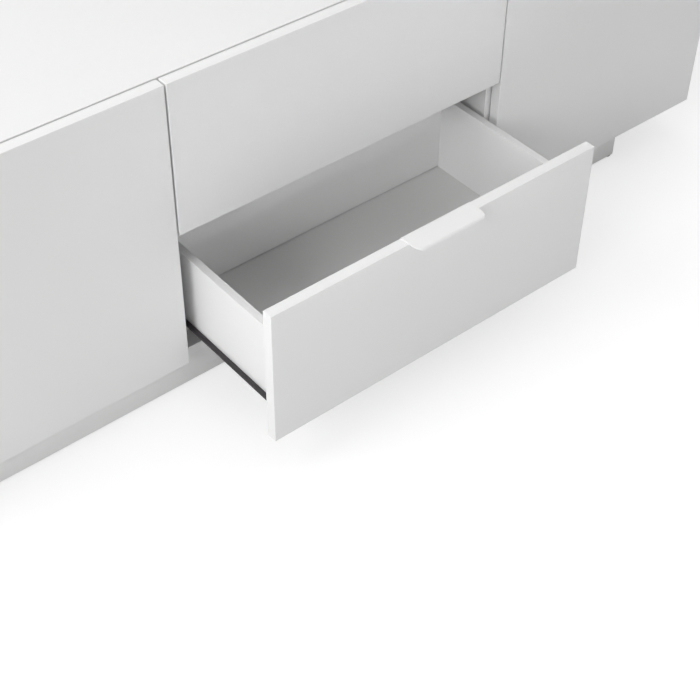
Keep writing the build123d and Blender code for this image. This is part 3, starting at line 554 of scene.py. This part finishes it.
# Runner channels: steel strip rolled into a shallow channel with soft bends, coated in charcoal epoxy. The
# front end is a flat tongue with round corners, and the axle of a roller is riveted into it.
def bent_line(corners, radius, steps):
    """A line through 2-D corners, each inner one rounded by a radius, and its unit normals to the left.

    At a corner that turns by t, the arc starts radius tan(t / 2) before it; its points are the arc's centre
    plus the radius at even angles.
    """
    corners = np.asarray(corners, float)
    runs = np.diff(corners, axis=0)
    runs /= np.linalg.norm(runs, axis=1)[:, None]
    left = np.stack([-runs[:, 1], runs[:, 0]], axis=1)
    points, normals = [corners[:1]], [left[:1]]
    for corner, before, after, normal in zip(corners[1:-1], runs, runs[1:], left):
        turn = math.atan2(before[0] * after[1] - before[1] * after[0], before @ after)
        hand = math.copysign(1, turn)
        angles = np.linspace(0, turn, steps)
        arc = np.stack([np.cos(angles), np.sin(angles)], axis=1) @ np.array([normal, -before])
        centre = corner - before * radius * math.tan(abs(turn) / 2) + normal * radius * hand
        points.append(centre - radius * hand * arc)
        normals.append(arc)
    points.append(corners[-1:])
    normals.append(left[-1:])
    return np.concatenate(points), np.concatenate(normals)


def rolled_strip(side, origin, line, normals, sheet, stations, squeeze):
    """A sheet strip of constant thickness along y, as a closed (points, faces).

    The section is the line plus and minus half the sheet along its normals, in x outwards and z upwards
    from the origin; at station y its height is scaled about the section's middle by that station's squeeze.
    """
    ring = np.concatenate([line + normals * sheet / 2, (line - normals * sheet / 2)[::-1]])
    middle = (ring[:, 1].min() + ring[:, 1].max()) / 2
    z = origin[1] + middle + (ring[:, 1] - middle) * squeeze[:, None]
    x = side * (origin[0] + ring[:, 0]) + np.zeros_like(z)
    points = np.stack([x, stations[:, None] + np.zeros_like(z), z], axis=-1)
    rings, steps = z.shape
    rung = np.arange(steps // 2 - 1)
    first = np.stack([rung, rung + 1, steps - 2 - rung, steps - 1 - rung], axis=1)
    last = first[:, ::-1] + (rings - 1) * steps
    return points.reshape(-1, 3), ring_walls([0], rings, steps) + first.tolist() + last.tolist()


def rounded_end(start, length, height, radius, steps=7):
    """Stations along y and their squeezes for a strip whose first end has round corners.

    At turn t the station is start + r (1 - cos t), and the height there is less by 2 r (1 - sin t).
    """
    turn = np.linspace(0, np.pi / 2, steps)
    y = start + radius * (1 - np.cos(turn))
    return np.append(y, start + length), np.append(1 - 2 * radius * (1 - np.sin(turn)) / height, 1.0)


def axle_shell(end, way, rings):
    """A turned axle from its free end, with rings of (radius, height along the outward way)."""
    radii, heights = np.array(rings).T[..., None]
    return turned(np.array([end]), np.array([way]), heights, radii, axle_steps)


sheet = 0.0012
half = sheet / 2
channel_h = 0.0134
channel_depth = 0.009
tongue_l = 0.022
tongue_overlap = 0.001
tongue_corner = 0.003
bend_r = 0.0012
bend_steps = 6
axle_r = 0.0018
axle_edge = 0.0004
axle_tip = [(0.0012, 0.0), (axle_r, -axle_edge)]
rivet_h = 0.0003
collar_r = 0.003
collar_at = 0.0046
axle_steps = 24
lower_front_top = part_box("lower_drawer_front")[1].z
runner_coat = skin_material(
    "charcoal_epoxy", (0.035, 0.031, 0.033), gloss=0.45, clouds=0.1, pearl_size=0.0008, pearl_depth=0.00002
)
web = [(-half, half), (-half, channel_h - half)]
lips = [(-channel_depth, half), (-channel_depth, channel_h - half)]
channel_line = bent_line([lips[0], *web, lips[1]], bend_r, bend_steps)
tongue_line = bent_line([(-half, 0.0), (-half, channel_h / 2), (-half, channel_h)], bend_r, 1)
channel_shells = []
for points in solids_of("runner_channels"):
    low, high = points.min(axis=0), points.max(axis=0)
    side = np.sign(low[0])
    face = max(abs(low[0]), abs(high[0]))
    reach_in = min(abs(low[0]), abs(high[0]))
    run = np.array([low[1] + tongue_l, high[1]])
    channel_shells.append(rolled_strip(side, (face, low[2]), *channel_line, sheet, run, np.ones(2)))
    tongue = rounded_end(low[1], tongue_l + tongue_overlap, channel_h, tongue_corner)
    channel_shells.append(rolled_strip(side, (face, low[2]), *tongue_line, sheet, *tongue))
    level = "lower" if low[2] < lower_front_top else "upper"
    hub_low, hub_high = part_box(f"{level}_drawer_cabinet_rollers")
    axle_end = [side * reach_in, (hub_low.y + hub_high.y) / 2, (hub_low.z + hub_high.z) / 2]
    axle_l = face - sheet - reach_in
    collar = [(axle_r, -collar_at), (collar_r, -collar_at - 0.0002)]
    rivet = [(collar_r, -axle_l), (collar_r - axle_edge, -axle_l - rivet_h)]
    channel_shells.append(axle_shell(axle_end, [-side, 0.0, 0.0], axle_tip + collar + rivet))
channels = new_mesh("rolled_channels", channel_shells)
add_piece("rolled_channels", channels, runner_coat, "runner_channels")

# Channel screws: three zinc-plated pan heads along each channel, driven into the dividers through holes in
# its web and drawn down tight.
channel_screw_l = 0.0146
channel_screws = new_mesh("channel_screw_set", [screw_shell(*ends_of("channel_screws"), channel_screw_l)])
add_piece("channel_screw_set", channel_screws, plated, "channel_screws")

# Rollers: moulded wheels of natural nylon on plain axles, one at the front of each channel and one at the
# back of each drawer member.
nylon = skin_material(
    "natural_nylon", (0.7, 0.69, 0.64), gloss=0.4, clouds=0.03, pearl_size=0.0005, pearl_depth=0.000008
)
drawers = ("lower_drawer", "upper_drawer")
dress([f"{drawer}_{place}_rollers" for drawer in drawers for place in ("cabinet", "drawer")], nylon)

# Drawer boxes: thin faced boards dowelled at the corners, with a sheet of white fibreboard under them as the
# bottom, held by the same screws as the runners.
drawer_white = (0.82, 0.82, 0.82)
drawer_board = skin_material(
    "drawer_side_board", drawer_white, gloss=0.45, clouds=0.015, pearl_size=0.0011, pearl_depth=0.000015
)
drawer_base = skin_material("drawer_fibreboard", (0.74, 0.74, 0.735), **fibreboard_skin)
for drawer in drawers:
    dress([f"{drawer}_{side}" for side in ("left_side", "right_side", "back")], drawer_board)
    dress([f"{drawer}_bottom"], drawer_base)
    dress([f"{drawer}_dowels"], beech)

# Drawer members: the other half of each runner, strip steel rolled with a foot under the box, a web up its
# side and a flange that rides on the cabinet's roller, in the same charcoal coat.
member_h = 0.0165
member_flange = 0.008
member_lip = 0.003
member_top = member_h - half
lip_x = member_flange - half
for drawer in drawers:
    member_shells = []
    drawer_side = abs(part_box(f"{drawer}_right_side")[1].x)
    hub_low, hub_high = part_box(f"{drawer}_drawer_rollers")
    for points in solids_of(f"{drawer}_runner_members"):
        low, high = points.min(axis=0), points.max(axis=0)
        side = np.sign(low[0])
        foot = min(abs(low[0]), abs(high[0])) - drawer_side
        web = [(half, half), (half, member_top)]
        flange = [(lip_x, member_top), (lip_x, member_h - member_lip)]
        line, normals = bent_line([(foot, half), *web, *flange], bend_r, bend_steps)
        run = np.array([low[1], high[1]])
        corner = (drawer_side, low[2])
        member_shells.append(rolled_strip(side, corner, line, normals, sheet, run, np.ones(2)))
        reach_out = max(abs(low[0]), abs(high[0]))
        axle_l = reach_out - drawer_side - sheet
        axle_end = [side * reach_out, (hub_low.y + hub_high.y) / 2, (hub_low.z + hub_high.z) / 2]
        rivet = [(axle_r, -axle_l), (axle_r - 0.0002, -axle_l - rivet_h)]
        member_shells.append(axle_shell(axle_end, [side, 0.0, 0.0], axle_tip + rivet))
    name = f"{drawer}_rolled_members"
    add_piece(name, new_mesh(name, member_shells), runner_coat, f"{drawer}_runner_members")

# Drawer fronts: eighteen-millimetre board in the same matt lacquer as the top, every edge eased by a
# millimetre, and dowelled to the sides.
dress([f"{drawer}_front" for drawer in drawers], lacquer)


# Handle: steel plate hooked over the front's top edge, bent out and down into a lip with large round
# corners, and powder-coated white. Two screws hold it from inside the drawer.
def bent_plate(name, low, high, thickness, drop, fold, lip_bend, corner, across):
    """Mid-surface of a bent plate as a grid: across its width by along its developed length.

    The line runs up the back, forward over the edge and down the lip. The half width at a point is w less
    R - root(R^2 - (R - d)^2), where d is its distance from the lip's end seen square to the bend, up to R.
    """
    half = thickness / 2
    back, tip, top = high.y - half, low.y + half, high.z - half
    up = bent_line([(back, low.z), (back, top), ((back + tip) / 2, top)], fold, fold_steps)[0]
    down = bent_line([((back + tip) / 2, top), (tip, top), (tip, high.z - drop)], lip_bend, lip_steps)[0]
    rough = np.concatenate([up, down[1:]])
    reach = np.concatenate([[0], np.cumsum(np.linalg.norm(np.diff(rough, axis=0), axis=1))])
    over = len(up) - 1
    fine = np.linspace(reach[over], reach[-1], 600)
    y, z = np.interp(fine, reach, rough[:, 0]), np.interp(fine, reach, rough[:, 1])
    seen = (y + z - tip - (high.z - drop)) / math.sqrt(2)
    wanted = corner * (1 - np.cos(np.linspace(np.pi / 2, 0, corner_steps)))
    rounded = np.interp(wanted[::-1], seen[::-1], fine[::-1])[::-1]
    straight = np.linspace(reach[over], rounded[0], 6)[:-1]
    stations = np.unique(np.round(np.concatenate([reach[: over + 1], straight, rounded]), 7))
    y, z = np.interp(stations, reach, rough[:, 0]), np.interp(stations, reach, rough[:, 1])
    d = np.clip((y + z - tip - (high.z - drop)) / math.sqrt(2), 0, corner)
    d[y > (back + tip) / 2] = corner
    width = high.x - (corner - np.sqrt(corner**2 - (corner - d) ** 2))
    x = np.linspace(-1, 1, across)[:, None] * width
    points = np.stack([x, y + np.zeros_like(x), z + np.zeros_like(x)], axis=-1)
    i, j = np.meshgrid(np.arange(across - 1), np.arange(len(stations) - 1), indexing="ij")
    corner_of = i * len(stations) + j
    next_row = corner_of + len(stations)
    faces = np.stack([corner_of, corner_of + 1, next_row + 1, next_row], axis=-1)
    mesh = bpy.data.meshes.new(name)
    mesh.from_pydata(points.reshape(-1, 3).tolist(), [], faces.reshape(-1, 4).tolist())
    return mesh


handle_t = 0.0015
fold_steps = 6
lip_steps = 24
corner_steps = 28
handle_mesh = bent_plate(
    "bent_handle_plate",
    *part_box("lower_drawer_handle"),
    thickness=handle_t,
    drop=0.011,
    fold=0.00325,
    lip_bend=0.00425,
    corner=0.020,
    across=41,
)
handle_coat = skin_material(
    "white_powder_coat", (0.80, 0.80, 0.80), gloss=0.42, clouds=0.01, pearl_size=0.0006, pearl_depth=0.00002
)
handle = add_piece("bent_handle_plate", handle_mesh, handle_coat, "lower_drawer_handle")
wall = handle.modifiers.new("plate_thickness", "SOLIDIFY")
wall.thickness = handle_t
wall.offset = 0.0
wall.use_even_offset = True
eased = handle.modifiers.new("eased_edges", "BEVEL")
eased.width = 0.0004
eased.segments = 3
eased.limit_method = "ANGLE"
eased.angle_limit = math.radians(50)
eased.harden_normals = True

# Drawer screws: pan heads up through the members' feet into the box, and on the lower drawer two more
# through the handle's flange into the back of the front.
foot_screw_l = 0.0176
handle_screw_l = 0.0136
for drawer in drawers:
    ends, ways = ends_of(f"{drawer}_screws")
    upright = np.abs(ways[:, 2]) > 0.5
    shells = [
        screw_shell(ends[chosen], ways[chosen], length)
        for chosen, length in ((upright, foot_screw_l), (~upright, handle_screw_l))
        if chosen.any()
    ]
    name = f"{drawer}_screw_set"
    add_piece(name, new_mesh(name, shells), plated, f"{drawer}_screws")

# Hinges: pressed nickel-plated steel. A plate is screwed inside the side board, an arm clips over it,
# curved links join the arm to a cup let into the door, and every stamped edge is rolled.
rolled_copy("stamped_hinge_plates", "hinge_plates", nickel, edge=0.00025)
rolled_copy("pressed_hinge_arms", "hinge_arms", nickel, edge=0.00025)
for hand in ("left", "right"):
    rolled_copy(f"{hand}_drawn_cups", f"{hand}_hinge_cups", nickel, edge=0.0003)
    rolled_copy(f"{hand}_stamped_links", f"{hand}_hinge_links", nickel, edge=0.0002)

# Hinge screws: wood screws through the plates' wings, and in each arm a fixing and an adjusting screw with
# a crossed recess, seen through two round windows.
plate_screw_l = 0.0136
arm_screw_r = 0.003
arm_screw_edge = 0.0003
arm_screw_steps = 32
ends, ways = ends_of("hinge_screws")
sizes = np.array([np.ptp(points, axis=0).max() for points in solids_of("hinge_screws")])
in_arm = sizes < plate_screw_l - 0.001
arm_screw_l = sizes[in_arm].min()
arm_rings = np.array([0.2, 0.6, 1.0, 1.4, 1.8, 2.2, 2.5, 2.8])[:, None] / 1000
arm_tops = -cross_recess(arm_rings, arm_screw_steps, arm=0.002, half_width=0.0004, depth=0.0011)
arm_radii = np.concatenate([arm_rings, [[arm_screw_r], [arm_screw_r], [arm_screw_r - arm_screw_edge]]])
arm_wall = np.array([[-0.0002], [arm_screw_edge - arm_screw_l], [-arm_screw_l]])
arm_heights = np.concatenate([arm_tops, arm_wall + np.zeros(arm_screw_steps)])
ways[in_arm] = np.stack([-np.sign(ends[in_arm, 0]), 0 * ends[in_arm, 0], 0 * ends[in_arm, 0]], axis=1)
inner = np.array([np.abs(points[:, 0]).min() for points in solids_of("hinge_screws")])
ends[in_arm, 0] = np.sign(ends[in_arm, 0]) * inner[in_arm]
hinge_shells = [
    screw_shell(ends[~in_arm], ways[~in_arm], plate_screw_l),
    turned(ends[in_arm], ways[in_arm], arm_heights, arm_radii, arm_screw_steps),
]
hinge_screws = new_mesh("hinge_screw_set", hinge_shells)
add_piece("hinge_screw_set", hinge_screws, plated, "hinge_screws")

# Doors: eighteen-millimetre board in the same matt lacquer, every edge eased by a millimetre, bored behind
# for the hinge cups.
dress(["left_door_panel", "right_door_panel"], lacquer)

# Push latches: moulded white plastic housings under the top, each with a spring plunger that throws a door
# or the upper drawer open when it is pressed.
latch_white = (0.78, 0.78, 0.78)
latch_plastic = skin_material(
    "latch_plastic_white", latch_white, gloss=0.38, clouds=0.02, pearl_size=0.0007, pearl_depth=0.00001
)
rolled_copy("moulded_latch_housings", "latch_housings", latch_plastic, edge=0.0004)
dress(["left_latch_plunger", "right_latch_plunger", "upper_drawer_latch_plunger"], latch_plastic)

# Studio: a white floor that runs out of sight under a bright sky. The camera sees the floor partly as
# itself and partly as an even glow, so that shadows on it stay faint, and far out only the glow is left.
bright = (1.0, 1.0, 1.0, 1.0)
sky_strength = 0.26
floor_reach = 14.0
glow_share = 0.469
glow_strength = 1.28
fade_near = 1.6
fade_far = 4.5
floor_corners = [(-floor_reach, -floor_reach, 0), (floor_reach, -floor_reach, 0)]
floor_corners += [(floor_reach, floor_reach, 0), (-floor_reach, floor_reach, 0)]
floor_mesh = bpy.data.meshes.new("floor")
floor_mesh.from_pydata(floor_corners, [], [(0, 1, 2, 3)])
floor = bpy.data.objects.new("floor", floor_mesh)
bpy.context.scene.collection.objects.link(floor)
floor_paint, floor_shader = plain_material("studio_floor", 0.9)
floor_shader.inputs["Base Color"].default_value = (0.92, 0.92, 0.92, 1.0)
floor_tree = floor_paint.node_tree
glow = add_node(floor_tree, "ShaderNodeEmission", {"Color": bright, "Strength": glow_strength})
floor_seen = add_node(floor_tree, "ShaderNodeLightPath")
floor_mix = add_node(floor_tree, "ShaderNodeMixShader")
floor_place = add_node(floor_tree, "ShaderNodeTexCoord")
floor_distance = add_node(floor_tree, "ShaderNodeVectorMath", operation="LENGTH")
floor_tree.links.new(floor_place.outputs["Object"], floor_distance.inputs[0])
floor_fade = add_node(
    floor_tree,
    "ShaderNodeMapRange",
    {"From Min": fade_near, "From Max": fade_far, "To Min": glow_share, "To Max": 1.0},
    interpolation_type="SMOOTHSTEP",
)
floor_tree.links.new(floor_distance.outputs["Value"], floor_fade.inputs["Value"])
floor_share = math_node(floor_tree, "MULTIPLY", floor_seen.outputs["Is Camera Ray"], floor_fade.outputs[0])
floor_tree.links.new(floor_share, floor_mix.inputs[0])
floor_tree.links.new(floor_shader.outputs[0], floor_mix.inputs[1])
floor_tree.links.new(glow.outputs[0], floor_mix.inputs[2])
floor_tree.links.new(floor_mix.outputs[0], floor_tree.nodes["Material Output"].inputs[0])
floor_mesh.materials.append(floor_paint)

world = bpy.data.worlds.new("studio")
bpy.context.scene.world = world
world.use_nodes = True
world_tree = world.node_tree
sky = world_tree.nodes["Background"]
sky.inputs["Color"].default_value = bright
sky.inputs["Strength"].default_value = sky_strength
backdrop = add_node(world_tree, "ShaderNodeBackground", {"Color": bright, "Strength": 1.0})
seen = add_node(world_tree, "ShaderNodeLightPath")
either = add_node(world_tree, "ShaderNodeMixShader")
world_tree.links.new(seen.outputs["Is Camera Ray"], either.inputs[0])
world_tree.links.new(sky.outputs[0], either.inputs[1])
world_tree.links.new(backdrop.outputs[0], either.inputs[2])
world_tree.links.new(either.outputs[0], world_tree.nodes["World Output"].inputs[0])


# Soft boxes: a large one far out on the left lights the fronts, one high behind lights the top, smaller
# ones fill the shaded sides, and a narrow strip lifts the middle of the front.
def soft_box(name, place, width, height, power, aim=(0.0, -0.1, 0.3), spread=180.0):
    """A rectangular area light at a place, turned to face a point, its beam spread by some degrees."""
    lamp = bpy.data.lights.new(name, "AREA")
    lamp.shape = "RECTANGLE"
    lamp.size, lamp.size_y, lamp.energy = width, height, power
    lamp.spread = math.radians(spread)
    holder = bpy.data.objects.new(name, lamp)
    bpy.context.scene.collection.objects.link(holder)
    away = np.array(place) - np.array(aim)
    holder.location = place
    tilt = math.atan2(math.hypot(away[0], away[1]), away[2])
    holder.rotation_euler = (tilt, 0.0, math.atan2(away[0], -away[1]))


soft_box("far_left_box", (-10.4, -4.1, 5.0), 5.0, 4.5, 528.0)
soft_box("high_back_box", (2.5, 2.5, 5.5), 5.0, 4.0, 69.0)
soft_box("left_fill_box", (-2.4, 0.6, 2.6), 2.0, 1.6, 56.0)
soft_box("right_fill_box", (3.6, -0.8, 1.9), 2.4, 2.0, 17.4)
soft_box("front_fill_box", (-0.6, -2.7, 1.5), 1.2, 1.0, 9.2)
soft_box("near_overhead_box", (-0.6, -0.3, 2.2), 1.5, 1.2, 5.2)
soft_box("middle_strip", (-0.05, -2.6, 1.2), 0.7, 0.16, 0.1, aim=(-0.02, -0.2, 0.40), spread=12.0)
bpy.context.scene.view_settings.view_transform = "Standard"

# Camera: a long lens above and to the left of the front, looking down at the open drawer and to the right
# past it, so that the left door runs out of the picture.
camera_data = bpy.data.cameras.new("camera")
camera_data.sensor_width = 36.0
camera_data.lens = 74.36
camera = bpy.data.objects.new("camera", camera_data)
camera.location = (-1.10034, -1.52183, 1.55488)
camera.rotation_euler = [math.radians(angle) for angle in (46.2223, -0.5923, -39.3351)]
bpy.context.scene.collection.objects.link(camera)
bpy.context.scene.camera = camera
